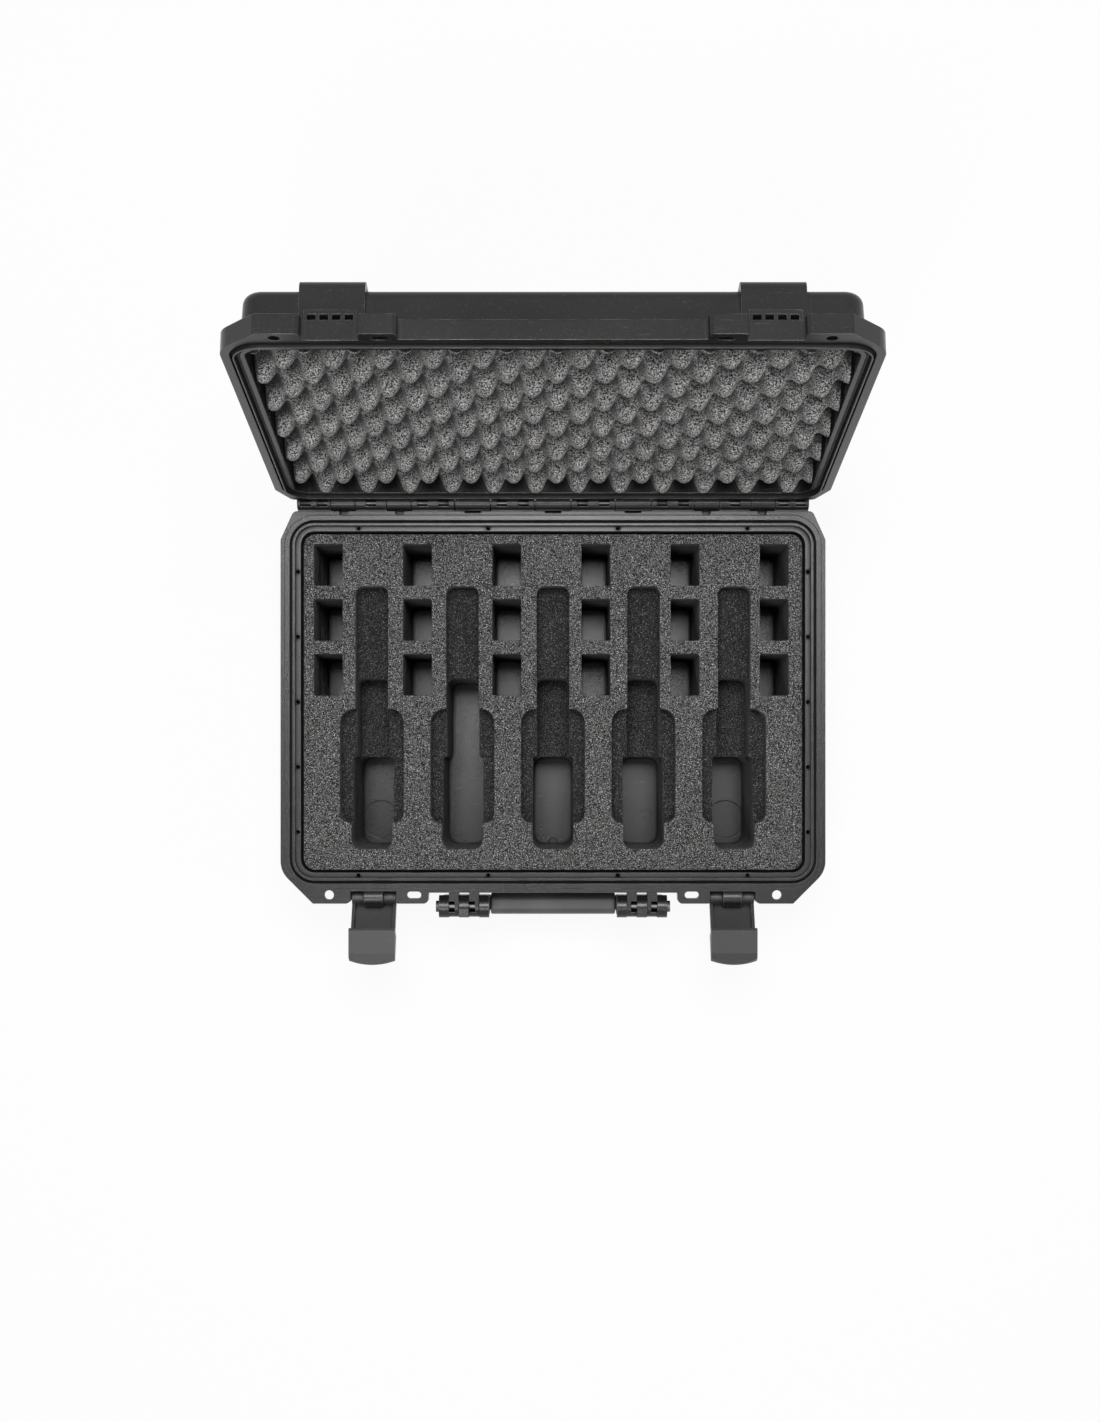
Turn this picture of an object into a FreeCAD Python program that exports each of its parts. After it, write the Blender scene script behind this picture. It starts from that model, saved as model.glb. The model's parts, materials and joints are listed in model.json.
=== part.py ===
import FreeCAD, Part
import math
import os

Vector = FreeCAD.Vector

# Inside of the case, measured at the rim
inside_width = 430.0
inside_depth = 291.0
inside_corner = 12.0
base_depth = 118.0
lid_depth = 41.0

# Moulded walls
wall = 4.0
floor_thickness = 4.0
base_draft = 1.2
lid_draft = 2.0
edge_radius = 8.0
base_band_height = 3.0
lid_band_height = 5.0
band_width = 46.0

# Feet under the base
foot_height = 3.0
foot_radius = 17.0
foot_inset_x = 58.0
foot_inset_y = 42.5
foot_recess = 1.5
gate_mark_radius = 4.5
gate_mark_depth = 0.8
gate_mark_inset = 21.0

# Rim: steps counted outward from the opening, heights from the parting plane
rim_width = 17.0
ring_width = 4.4
tongue_width = 2.0
groove_width = 2.8
bead_width = 4.1
ring_drop = 2.0
tongue_height = 2.4
groove_depth = 4.0
edge_drop = 1.0
parting_gap = 0.4
rim_clearance = 0.8
lid_ridge_depth = 2.0
lid_groove_width = 2.4
lid_groove_depth = 2.6
seal_height = 2.6
seal_clearance = 0.2

# Flange around both halves
flange_thickness = 5.0
lid_flange_thickness = 7.5
skirt_height = 15.0
skirt_thickness = 3.0
gusset_thickness = 2.5
gusset_inset = 2.0
front_gusset_count = 7
side_gusset_count = 5
gusset_pitch = 55.2
tab_reach = 9.3
tab_gap = 8.9
tab_inner_length = 27.1
tab_outer_length = 31.9
tab_corner = 4.0
notch_corner = 1.5
front_bend = 21.0
back_corner_x = 221.0
back_corner_run = 24.3
back_bend = 5.0
padlock_inset = 18.0
padlock_radius = 4.0
tab_hole_inset = 7.4
slot_inset = 11.9
slot_length = 12.0
slot_width = 5.7

# Screw bosses for a panel frame, on the inner ring
boss_radius = 2.4
boss_height = 12.0
boss_inset = 2.2
boss_proud = 0.5
boss_hole_radius = 1.2
boss_hole_depth = 9.0
side_boss_pitch = 55.4
side_boss_count = 5
front_boss_pitch = 110.4
front_boss_count = 4

# Lid hinge
hinge_setback = 6.8
hinge_length = 434.4
hinge_knuckle_radius = 5.8
hinge_rod_radius = 2.25
pin_clearance = 0.06
knuckle_gap = 0.9
lid_knuckle_x = [0.0, 68.2, 130.7, 178.2]
lid_knuckle_width = [29.7, 29.5, 20.0, 19.5]
window_counts = [2, 2, 1, 2]
window_length = 9.0
window_width = 7.0
relief_radius = 4.0
relief_slot_width = 14.0
relief_slot_depth = 1.6
apron_drop = 8.5
apron_thickness = 2.0
lid_open_angle = 101.7
stop_gap = 0.4
lid_heel_height = 4.0

# Latches
latch_notch_gap = 0.85
latch_setout = 4.3
latch_drop = 9.0
latch_barrel_radius = 5.0
latch_pin_radius = 2.0
latch_width = 37.5
latch_tip_width = 39.0
latch_arm_thickness = 3.5
latch_arm_offset = 5.0
latch_cheek_depth = 3.0
latch_cheek_thickness = 2.5
latch_knuckle_width = 16.0
latch_knuckle_radius = 8.4
latch_side_gap = 0.4
latch_wall_gap = 0.5
latch_heel_top = 2.0
latch_heel_bottom = 7.0
hook_height = 32.5
hook_reach = 9.0
hook_thickness = 2.5
tip_length = 27.0
tip_sag = 3.8
tip_bevel_length = 8.0
tip_bevel_drop = 2.6
latch_open_angle = 62.0
keeper_width = 37.0
keeper_thickness = 3.5
keeper_rib_count = 5
keeper_rib_thickness = 2.5

# Handle
handle_setout = 12.2
handle_drop = 11.0
handle_length = 194.8
ear_count = 3
ear_width = 8.4
lug_width = 8.2
ear_gap = 0.3
ear_radius = 9.6
lug_radius = 9.0
lug_window_width = 5.0
lug_window_depth = 9.4
lug_window_floor = 3.0
handle_pin_radius = 3.0
pin_head_radius = 4.8
pin_head_length = 2.4
handle_reach = 40.0
handle_depth = 15.0
handle_shoulder = 13.0
handle_corner = 14.0
handle_edge = 2.5
handle_swing = 95.0
handle_heel_height = 6.5
core_depth = 10.0
core_height = 12.0
grip_depth = 18.5
grip_height = 22.0
grip_corner = 7.0
grip_end_radius = 1.5

# Foam insert in the base, in three laminated sheets
foam_gap = 1.5
foam_drop = 6.0
top_sheet = 17.0
middle_sheet = 33.0
well_width = 24.3
well_length = 35.3
well_column_count = 6
well_row_count = 3
well_pitch_x = 76.2
well_pitch_y = 46.9
well_shift_x = -1.5
well_back_margin = 10.65
bay_count = 5
bay_pitch = 77.4
bay_front_margin = 20.1
bay_width = 27.5
bay_corner = 6.0
bay_length = 224.1
bay_step_length = 146.0
bay_end_length = 78.7
bay_end_width = 34.5
bay_end_corner = 8.0
finger_width = 54.2
finger_step = 22.2
finger_length = 97.4
finger_corner = 11.5
through_bay_index = 1

# Convoluted foam in the lid
lid_foam_gap = 0.4
crest_pitch_x = 35.2
crest_pitch_y = 52.0
crest_height = 20.0
crest_stand = 1.0
crest_shift_x = 3.3

# Pressure valve in the front wall
valve_z = 46.0
valve_pad_radius = 15.0
valve_pad_height = 2.0
valve_flange_radius = 12.0
valve_flange_thickness = 3.0
valve_barrel_radius = 6.0
valve_hole_clearance = 0.2
valve_bore_radius = 3.5
valve_seal_radius = 10.0
valve_seal_thickness = 1.5
valve_nut_width = 19.0
valve_nut_thickness = 5.0
valve_spot_radius = 12.5
valve_spot_wall = 5.0
valve_thread_end = 1.5
valve_cap_radius = 10.5
valve_cap_thickness = 4.0
valve_vent_count = 8
valve_vent_width = 2.0
valve_vent_depth = 1.5
membrane_radius = 7.0
membrane_thickness = 0.6
membrane_seat_depth = 0.9
foam_relief_radius = 14.0
foam_relief_depth = 10.0
valve_cap_edge = 1.0

# How far a cutting tool runs past the face it cuts
overcut = 1.0

# Heights and lines that follow from the sizes above
floor_z = foot_height + floor_thickness
parting_z = floor_z + base_depth
lid_low_z = parting_z + parting_gap
lid_ceiling_z = lid_low_z + lid_depth
lid_top_z = lid_ceiling_z + wall
front_y = -(inside_depth / 2 + rim_width)
back_y = inside_depth / 2 + rim_width
side_x = inside_width / 2 + rim_width
tab_y = front_y - tab_reach
tab_inner_x = handle_length / 2 + tab_gap
slot_x = tab_inner_x + slot_inset
notch_width = latch_width + 2 * latch_notch_gap
notch_in = tab_inner_x + tab_inner_length
notch_out = notch_in + notch_width
latch_x = (notch_in + notch_out) / 2
padlock_x = notch_out + padlock_inset
tab_outer_x = notch_out + tab_outer_length
foot_x = inside_width / 2 - foot_inset_x
foot_y = inside_depth / 2 - foot_inset_y
hinge_y = back_y + hinge_setback
latch_y = front_y - latch_setout
latch_z = parting_z - latch_drop
notch_y = latch_y + latch_barrel_radius + latch_wall_gap
handle_y = front_y - handle_setout
handle_z = parting_z - handle_drop
tongue_start = ring_width
groove_start = tongue_start + tongue_width
bead_start = groove_start + groove_width
bead_end = bead_start + bead_width
foam_top_z = parting_z - foam_drop
bay_front_y = bay_front_margin - inside_depth / 2
axis_x = Vector(1, 0, 0)
hinge_axis = Vector(0, hinge_y, parting_z)


def in_plan(z):
    return lambda a, b: Vector(a, b, z)


def in_section(x):
    return lambda a, b: Vector(x, a, b)


def in_elevation(y):
    return lambda a, b: Vector(a, y, b)


def rounded_outline(corners, place):
    # Closed wire through corners given as (a, b, radius), with tangent arcs at the rounded ones
    edges = []
    points = [Vector(a, b, 0) for a, b, radius in corners]
    runs = []
    for index, (a, b, radius) in enumerate(corners):
        here = points[index]
        back = (points[index - 1] - here).normalize()
        ahead = (points[(index + 1) % len(points)] - here).normalize()
        half_turn = back.getAngle(ahead) / 2
        trim = radius / math.tan(half_turn)
        bisector = (back + ahead).normalize() if radius else Vector()
        middle = here + bisector * (radius / math.sin(half_turn) - radius)
        runs.append((here + back * trim, middle, here + ahead * trim, radius))
    for index, (start, middle, end, radius) in enumerate(runs):
        before = runs[index - 1][2]
        if before.distanceToPoint(start) > 1e-6:
            edges.append(Part.makeLine(place(before.x, before.y), place(start.x, start.y)))
        if radius:
            arc = Part.Arc(place(start.x, start.y), place(middle.x, middle.y), place(end.x, end.y))
            edges.append(arc.toShape())
    return Part.Wire(edges)


def rounded_rectangle(width, depth, radius, z, x=0.0, y=0.0):
    half_w = width / 2
    half_d = depth / 2
    signs = [(-1, -1), (1, -1), (1, 1), (-1, 1)]
    corners = [(x + sx * half_w, y + sy * half_d, radius) for sx, sy in signs]
    return rounded_outline(corners, in_plan(z))


def block(x0, x1, y0, y1, z0, z1):
    return Part.makeBox(x1 - x0, y1 - y0, z1 - z0, Vector(x0, y0, z0))


def rod_along_x(x0, x1, y, z, radius):
    return Part.makeCylinder(radius, x1 - x0, Vector(x0, y, z), axis_x)


def prism(wire, along):
    return Part.Face(wire).extrude(along)


def rim_prism(offset, low, high):
    # Upright prism over the opening's outline, grown outward by the offset
    outline = rounded_rectangle(
        inside_width + 2 * offset, inside_depth + 2 * offset, inside_corner + offset, low
    )
    return prism(outline, Vector(0, 0, high - low))


def rim_ring(inner, outer, low, high):
    return rim_prism(outer, low, high).cut(rim_prism(inner, low, high))


def drafted_body(offset, mouth, far, draft):
    # Tapered body from the mouth plane to the far plane, narrowing by the draft angle
    inset = abs(far - mouth) * math.tan(math.radians(draft))
    wires = []
    for z, shift in ((mouth, 0.0), (far, inset)):
        grown = offset - shift
        wires.append(
            rounded_rectangle(
                inside_width + 2 * grown, inside_depth + 2 * grown, inside_corner + grown, z
            )
        )
    return Part.makeLoft(wires, True, True)


def edges_at_height(shape, z):
    return [e for e in shape.Edges if all(abs(v.Z - z) < 1e-6 for v in e.Vertexes)]


def rounded_body(offset, mouth, far, draft):
    body = drafted_body(offset, mouth, far, draft)
    return body.makeFillet(edge_radius, edges_at_height(body, far))


def both_sides(values):
    return [sign * value for value in values for sign in ((-1, 1) if value else (1,))]


def spread(count, pitch):
    return [(index - (count - 1) / 2) * pitch for index in range(count)]


def flange_outline(z):
    # Outline of the flange from above, with the latch tabs and notches in front
    right = [
        (tab_inner_x, front_y, 0),
        (tab_inner_x, tab_y, tab_corner),
        (notch_in, tab_y, notch_corner),
        (notch_in, notch_y, 0),
        (notch_out, notch_y, 0),
        (notch_out, tab_y, tab_corner),
        (tab_outer_x, tab_y, notch_corner),
        (side_x, tab_y + side_x - tab_outer_x, front_bend),
        (side_x, back_y - back_corner_run, back_bend),
        (back_corner_x, back_y, back_bend),
    ]
    left = [(-x, y, radius) for x, y, radius in reversed(right)]
    return rounded_outline(right + left, in_plan(z))


def flange_prism(low, high):
    return prism(flange_outline(low), Vector(0, 0, high - low))


def flange_skirt(low, high):
    inner = flange_outline(low).makeOffset2D(-skirt_thickness)
    return flange_prism(low, high).cut(prism(inner, Vector(0, 0, high - low)))


def flange_gussets(low, high):
    # Ribs under the flange, trimmed to its outline
    reach = inside_width
    half = gusset_thickness / 2
    ribs = [block(x - half, x + half, -reach, reach, low, high) for x in spread(front_gusset_count, gusset_pitch)]
    ribs += [block(-reach, reach, y - half, y + half, low, high) for y in spread(side_gusset_count, gusset_pitch)]
    return Part.makeCompound(ribs).common(flange_prism(low, high))


def side_bands(body):
    # Two stiffening bands across a body, in line with the latches
    half = band_width / 2
    box = body.BoundBox
    slices = [block(x - half, x + half, box.YMin, box.YMax, box.ZMin, box.ZMax) for x in both_sides([latch_x])]
    return [body.common(slice_box) for slice_box in slices]


def tab_holes(low, high):
    y = tab_y + tab_hole_inset
    tools = []
    for x in both_sides([padlock_x]):
        tools.append(Part.makeCylinder(padlock_radius, high - low, Vector(x, y, low)))
    for x in both_sides([slot_x]):
        outline = rounded_rectangle(slot_length, slot_width, slot_width / 2 - 1e-3, low, x, y)
        tools.append(prism(outline, Vector(0, 0, high - low)))
    return tools


def boss_centres():
    x = inside_width / 2 + boss_inset
    y = inside_depth / 2 + boss_inset
    sides = [(sx * x, step) for step in spread(side_boss_count, side_boss_pitch) for sx in (-1, 1)]
    ends = [(step, sy * y) for step in spread(front_boss_count, front_boss_pitch) for sy in (-1, 1)]
    return sides + ends


def lid_knuckle_spans():
    spans = []
    for centre, width in zip(lid_knuckle_x, lid_knuckle_width):
        spans += [(x - width / 2, x + width / 2) for x in both_sides([centre])]
    return spans


def base_knuckle_spans():
    # The base's knuckles fill the stretches that the lid's leave free
    starts = [x + width / 2 + knuckle_gap for x, width in zip(lid_knuckle_x, lid_knuckle_width)]
    ends = [x - width / 2 - knuckle_gap for x, width in zip(lid_knuckle_x, lid_knuckle_width)][1:]
    ends.append(hinge_length / 2)
    spans = []
    for start, end, windows in zip(starts, ends, window_counts):
        spans.append((start, end, windows))
        spans.append((-end, -start, windows))
    return spans


def hinge_knuckle(x0, x1, low, high):
    barrel = rod_along_x(x0, x1, hinge_y, parting_z, hinge_knuckle_radius)
    return barrel.fuse(block(x0, x1, back_y - skirt_thickness, hinge_y, low, high))


def hinge_bore():
    half = hinge_length / 2 + overcut
    return rod_along_x(-half, half, hinge_y, parting_z, hinge_rod_radius + pin_clearance)


def hinge_windows():
    tools = []
    for x0, x1, count in base_knuckle_spans():
        pitch = (x1 - x0) / count
        for step in spread(count, pitch):
            middle = (x0 + x1) / 2 + step
            tools.append(
                block(
                    middle - window_length / 2,
                    middle + window_length / 2,
                    hinge_y - window_width / 2,
                    hinge_y + window_width / 2,
                    parting_z,
                    parting_z + 2 * hinge_knuckle_radius,
                )
            )
    return tools


def stack_spans():
    # Ears and lugs of the handle from its end inwards, on the right-hand side
    ears = []
    lugs = []
    x = handle_length / 2
    for index in range(ear_count):
        ears.append((x - ear_width, x))
        x -= ear_width + ear_gap
        if index < ear_count - 1:
            lugs.append((x - lug_width, x))
            x -= lug_width + ear_gap
    return ears, lugs


def mirrored_spans(spans):
    return spans + [(-x1, -x0) for x0, x1 in spans]


def handle_lugs():
    _, lugs = stack_spans()
    inner_y = -(inside_depth / 2 + wall / 2)
    solids = []
    for x0, x1 in mirrored_spans(lugs):
        eye = rod_along_x(x0, x1, handle_y, handle_z, lug_radius)
        web = block(x0, x1, handle_y, inner_y, handle_z - lug_radius, handle_z + lug_radius)
        outer = x1 if x1 > 0 else x0
        inner = outer - math.copysign(lug_window_width, outer)
        window = block(
            min(outer, inner),
            max(outer, inner),
            handle_y - lug_window_depth / 2,
            handle_y + lug_window_depth / 2,
            handle_z - lug_radius + lug_window_floor,
            handle_z + 2 * lug_radius,
        )
        solids.append(eye.fuse(web).cut(window))
    return solids


def wall_face_y(z):
    # Outer face of the front wall at a height
    return -(inside_depth / 2 + wall - (parting_z - z) * math.tan(math.radians(base_draft)))


def front_cylinder(radius, y0, y1, z):
    return Part.makeCylinder(radius, y1 - y0, Vector(0, y0, z), Vector(0, 1, 0))


valve_pad_y = wall_face_y(valve_z) - valve_pad_height
valve_spot_y = valve_pad_y + valve_spot_wall
valve_flange_y = valve_pad_y - valve_seal_thickness


def make_base_shell():
    skirt_low = parting_z - skirt_height
    flange_low = parting_z - flange_thickness
    solids = [
        flange_prism(flange_low, parting_z),
        flange_skirt(skirt_low, flange_low),
        flange_gussets(skirt_low + gusset_inset, flange_low),
        front_cylinder(valve_pad_radius, valve_pad_y, valve_spot_y, valve_z),
    ]
    solids += side_bands(rounded_body(wall + base_band_height, parting_z, foot_height, base_draft))
    for x in both_sides([foot_x]):
        for y in both_sides([foot_y]):
            solids.append(Part.makeCylinder(foot_radius, floor_thickness, Vector(x, y, 0)))
    for x0, x1, _ in base_knuckle_spans():
        solids.append(hinge_knuckle(x0, x1, parting_z - hinge_knuckle_radius, parting_z - parting_gap))
    for x in both_sides([latch_x]):
        x0 = x - latch_knuckle_width / 2
        x1 = x + latch_knuckle_width / 2
        solids.append(rod_along_x(x0, x1, latch_y, latch_z, latch_knuckle_radius))
        web_low = latch_z - latch_barrel_radius
        web_high = latch_z + latch_barrel_radius
        solids.append(block(x0, x1, latch_y, notch_y + skirt_thickness / 2, web_low, web_high))
    solids += handle_lugs()
    half_hinge = hinge_length / 2
    apron_high = parting_z - apron_drop
    apron_low = apron_high - apron_thickness
    solids.append(block(-half_hinge, half_hinge, back_y - skirt_thickness, hinge_y, apron_low, apron_high))

    cavity = drafted_body(0.0, parting_z, floor_z, base_draft)
    ring_z = parting_z - ring_drop
    bosses = []
    for x, y in boss_centres():
        low = ring_z + boss_proud - boss_height
        bosses.append(Part.makeCylinder(boss_radius, boss_height, Vector(x, y, low)))
    shell = rounded_body(wall, parting_z, foot_height, base_draft).multiFuse(solids).cut(cavity)
    shell = shell.cut(rim_prism(ring_width, ring_z, parting_z + overcut)).multiFuse(bosses)

    half = latch_width / 2
    tools = tab_holes(skirt_low, parting_z + overcut)
    tools.append(rim_ring(groove_start, bead_start, parting_z - groove_depth, parting_z + overcut))
    edge = flange_prism(parting_z - edge_drop, parting_z + overcut)
    tools.append(edge.cut(rim_prism(bead_end, parting_z - edge_drop, parting_z + overcut)))
    for x, y in boss_centres():
        low = ring_z + boss_proud - boss_hole_depth
        tools.append(Part.makeCylinder(boss_hole_radius, boss_hole_depth + overcut, Vector(x, y, low)))
    for x in both_sides(lid_knuckle_x[2:]):
        tools.append(Part.makeCylinder(relief_radius, apron_drop + overcut, Vector(x, back_y, apron_high)))
    for x in both_sides(lid_knuckle_x[:2]):
        x0 = x - relief_slot_width / 2
        x1 = x + relief_slot_width / 2
        tools.append(block(x0, x1, back_y - relief_slot_depth, back_y + overcut, apron_high, parting_z + overcut))
    for x in both_sides([latch_x]):
        tools.append(rod_along_x(x - half, x + half, latch_y, latch_z, latch_pin_radius + pin_clearance))
    for x in both_sides([foot_x]):
        for y in both_sides([foot_y]):
            low = floor_z - foot_recess
            tools.append(Part.makeCylinder(foot_radius, foot_recess + overcut, Vector(x, y, low)))
    mark = Vector(0, gate_mark_inset - inside_depth / 2, floor_z - gate_mark_depth)
    tools.append(Part.makeCylinder(gate_mark_radius, gate_mark_depth + overcut, mark))
    reach = handle_length / 2
    tools.append(rod_along_x(-reach, reach, handle_y, handle_z, handle_pin_radius + pin_clearance))
    hole_radius = valve_barrel_radius + valve_hole_clearance
    tools.append(front_cylinder(hole_radius, valve_pad_y - overcut, valve_spot_y + overcut, valve_z))
    tools.append(front_cylinder(valve_spot_radius, valve_spot_y, valve_spot_y + wall, valve_z))
    tools.append(hinge_bore())
    tools += hinge_windows()
    shell = shell.cut(tools)
    tongue = rim_ring(tongue_start, groove_start, parting_z - ring_drop, parting_z + tongue_height)
    return shell.fuse(tongue).removeSplitter()


def lid_keepers():
    # Ledges that the latch hooks close over, each on a row of ribs
    top = latch_z + hook_height - stop_gap
    inner_y = -(inside_depth / 2 + wall / 2)
    solids = []
    for x in both_sides([latch_x]):
        half = keeper_width / 2
        solids.append(block(x - half, x + half, notch_y, inner_y, top - keeper_thickness, top))
        pitch = (keeper_width - keeper_rib_thickness) / (keeper_rib_count - 1)
        for step in spread(keeper_rib_count, pitch):
            x0 = x + step - keeper_rib_thickness / 2
            x1 = x0 + keeper_rib_thickness
            solids.append(block(x0, x1, notch_y, inner_y, lid_low_z, top - keeper_thickness / 2))
    return solids


def turned(shape, centre, angle):
    copy = shape.copy()
    copy.rotate(centre, axis_x, angle)
    return copy


def lid_at_rest(shape):
    return turned(shape, hinge_axis, -lid_open_angle)


def make_lid_shell():
    flange_high = lid_low_z + lid_flange_thickness
    skirt_high = lid_low_z + skirt_height
    solids = [
        flange_prism(lid_low_z, flange_high),
        flange_skirt(flange_high, skirt_high),
        flange_gussets(flange_high, skirt_high - gusset_inset),
    ]
    grown = rounded_body(wall + lid_band_height, lid_low_z, lid_top_z + lid_band_height, lid_draft)
    solids += side_bands(grown)
    solids += lid_keepers()
    for x0, x1 in lid_knuckle_spans():
        solids.append(hinge_knuckle(x0, x1, lid_low_z, parting_z + hinge_knuckle_radius))
    cavity = drafted_body(0.0, lid_low_z, lid_ceiling_z, lid_draft)
    lid = rounded_body(wall, lid_low_z, lid_top_z, lid_draft).multiFuse(solids).cut(cavity)

    seal_inner = tongue_start - rim_clearance
    seal_outer = groove_start + rim_clearance
    ridge_outer = bead_start - rim_clearance
    seal_ceiling = parting_z + tongue_height + parting_gap + seal_height
    tools = tab_holes(lid_low_z - overcut, skirt_high)
    tools.append(rim_ring(seal_inner, seal_outer, lid_low_z - overcut, seal_ceiling))
    groove_outer = ridge_outer + lid_groove_width
    tools.append(rim_ring(ridge_outer, groove_outer, lid_low_z - overcut, lid_low_z + lid_groove_depth))
    tools.append(hinge_bore())
    ridge = rim_ring(seal_outer, ridge_outer, parting_z - lid_ridge_depth, lid_low_z)
    lid = lid_at_rest(lid.cut(tools).fuse(ridge).removeSplitter())

    heels = []
    for x0, x1 in lid_knuckle_spans():
        if abs(x0 + x1) / 2 < lid_knuckle_x[2]:
            heels.append(
                block(
                    x0,
                    x1,
                    back_y + stop_gap,
                    hinge_y - hinge_rod_radius - pin_clearance,
                    parting_z - lid_heel_height,
                    parting_z,
                )
            )
    return lid.multiFuse(heels).removeSplitter()


def make_lid_seal():
    low = parting_z + tongue_height + parting_gap
    inner = tongue_start - rim_clearance + seal_clearance
    outer = groove_start + rim_clearance - seal_clearance
    return lid_at_rest(rim_ring(inner, outer, low, low + seal_height))


def make_lid_foam():
    # Egg-crate sheet: crests and troughs alternate on a staggered grid, with a saddle in each cell
    inset = lid_depth * math.tan(math.radians(lid_draft)) + lid_foam_gap
    width = inside_width - 2 * inset
    depth = inside_depth - 2 * inset
    cell_x = crest_pitch_x / 2
    reach = math.ceil((width / 2 + crest_shift_x) / cell_x)
    rows = round(depth / crest_pitch_y * 2)
    cell_y = depth / rows
    low = lid_low_z - crest_stand

    def corner(i, j):
        z = low if (i + j) % 2 else low + crest_height
        return Vector(i * cell_x + crest_shift_x, depth / 2 - j * cell_y, z)

    faces = []
    for j in range(rows):
        for i in range(-reach, reach):
            ring = [corner(i, j), corner(i, j + 1), corner(i + 1, j + 1), corner(i + 1, j)]
            middle = (ring[0] + ring[1] + ring[2] + ring[3]) / 4
            for k in range(4):
                faces.append(Part.Face(Part.makePolygon([ring[k], ring[(k + 1) % 4], middle, ring[k]])))

    borders = [
        [corner(i, 0) for i in range(-reach, reach + 1)],
        [corner(reach, j) for j in range(rows + 1)],
        [corner(i, rows) for i in range(reach, -reach - 1, -1)],
        [corner(-reach, j) for j in range(rows, -1, -1)],
    ]
    for run in borders:
        top = [Vector(end.x, end.y, lid_ceiling_z) for end in (run[-1], run[0])]
        faces.append(Part.Face(Part.makePolygon(run + top + run[:1])))
    corners = [Vector(run[0].x, run[0].y, lid_ceiling_z) for run in borders]
    faces.append(Part.Face(Part.makePolygon(corners + corners[:1])))
    shell = Part.makeShell(faces)
    shell.sewShape()
    crate = Part.makeSolid(shell)
    if crate.Volume < 0:
        crate.reverse()
    outline = rounded_rectangle(width, depth, inside_corner - inset, low)
    trimmed = crate.common(prism(outline, Vector(0, 0, lid_ceiling_z - low)))
    return lid_at_rest(trimmed)


def make_latch(x):
    # Closed form about the pivot, then opened; a and b run outward and up from the pivot
    lean = math.radians(90 - latch_open_angle)
    outer = latch_arm_offset + latch_arm_thickness
    nose = hook_height + hook_thickness
    tip_a = tip_length * math.sin(lean) - hook_reach
    tip_b = nose + tip_length * math.cos(lean)
    flat_length = tip_length - tip_bevel_length
    bevel_a = flat_length * math.sin(lean) - hook_reach
    bevel_b = nose + flat_length * math.cos(lean)
    arm = [
        (latch_arm_offset, -latch_barrel_radius),
        (outer, -latch_barrel_radius),
        (outer, hook_height),
        (latch_arm_offset, hook_height),
    ]
    head = [
        (-hook_reach, hook_height),
        (outer, hook_height),
        (outer, tip_b),
        (tip_a + tip_bevel_drop, tip_b),
        (bevel_a, bevel_b),
        (-hook_reach, nose),
    ]

    def profile(corners, width):
        wire = rounded_outline(
            [(latch_y - a, latch_z + b, 0) for a, b in corners], in_section(x - width / 2)
        )
        return prism(wire, Vector(width, 0, 0))

    half_tip = latch_tip_width / 2
    tip_z = latch_z + tip_b
    reach = hook_reach + outer
    crown = Part.Arc(
        Vector(x + half_tip, latch_y - reach, tip_z - tip_sag),
        Vector(x, latch_y - reach, tip_z),
        Vector(x - half_tip, latch_y - reach, tip_z - tip_sag),
    ).toShape()
    feet = [
        Vector(x - half_tip, latch_y - reach, tip_z - tip_sag),
        Vector(x - half_tip, latch_y - reach, latch_z),
        Vector(x + half_tip, latch_y - reach, latch_z),
        Vector(x + half_tip, latch_y - reach, tip_z - tip_sag),
    ]
    crown_prism = prism(Part.Wire([crown] + Part.makePolygon(feet).Edges), Vector(0, 2 * reach, 0))
    body = profile(head, latch_tip_width).common(crown_prism).fuse(profile(arm, latch_width))

    cheek = [
        (latch_arm_offset - latch_cheek_depth, -latch_barrel_radius),
        (latch_arm_offset, -latch_barrel_radius),
        (latch_arm_offset, hook_height),
        (latch_arm_offset - latch_cheek_depth, hook_height),
    ]
    half = latch_width / 2
    for side in (-1, 1):
        edge = x + side * (half - latch_cheek_thickness / 2)
        wire = rounded_outline(
            [(latch_y - a, latch_z + b, 0) for a, b in cheek], in_section(edge - latch_cheek_thickness / 2)
        )
        body = body.fuse(prism(wire, Vector(latch_cheek_thickness, 0, 0)))
    bridge = block(
        x - half,
        x + half,
        latch_y - outer,
        latch_y,
        latch_z - latch_barrel_radius,
        latch_z + latch_barrel_radius,
    )
    body = body.fuse(rod_along_x(x - half, x + half, latch_y, latch_z, latch_barrel_radius)).fuse(bridge)
    latch = turned(body, Vector(x, latch_y, latch_z), latch_open_angle)

    heel = block(
        x - half,
        x + half,
        latch_y,
        notch_y - stop_gap,
        latch_z - latch_heel_bottom,
        latch_z - latch_heel_top,
    )
    latch = latch.fuse(heel)
    gap = latch_knuckle_width / 2 + latch_side_gap
    clear = latch_knuckle_radius + latch_side_gap
    latch = latch.cut(rod_along_x(x - gap, x + gap, latch_y, latch_z, clear))
    latch = latch.cut(rod_along_x(x - half, x + half, latch_y, latch_z, latch_pin_radius + pin_clearance))
    return latch.removeSplitter()


def make_latch_pin(x):
    half = latch_width / 2
    return rod_along_x(x - half, x + half, latch_y, latch_z, latch_pin_radius)


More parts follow.
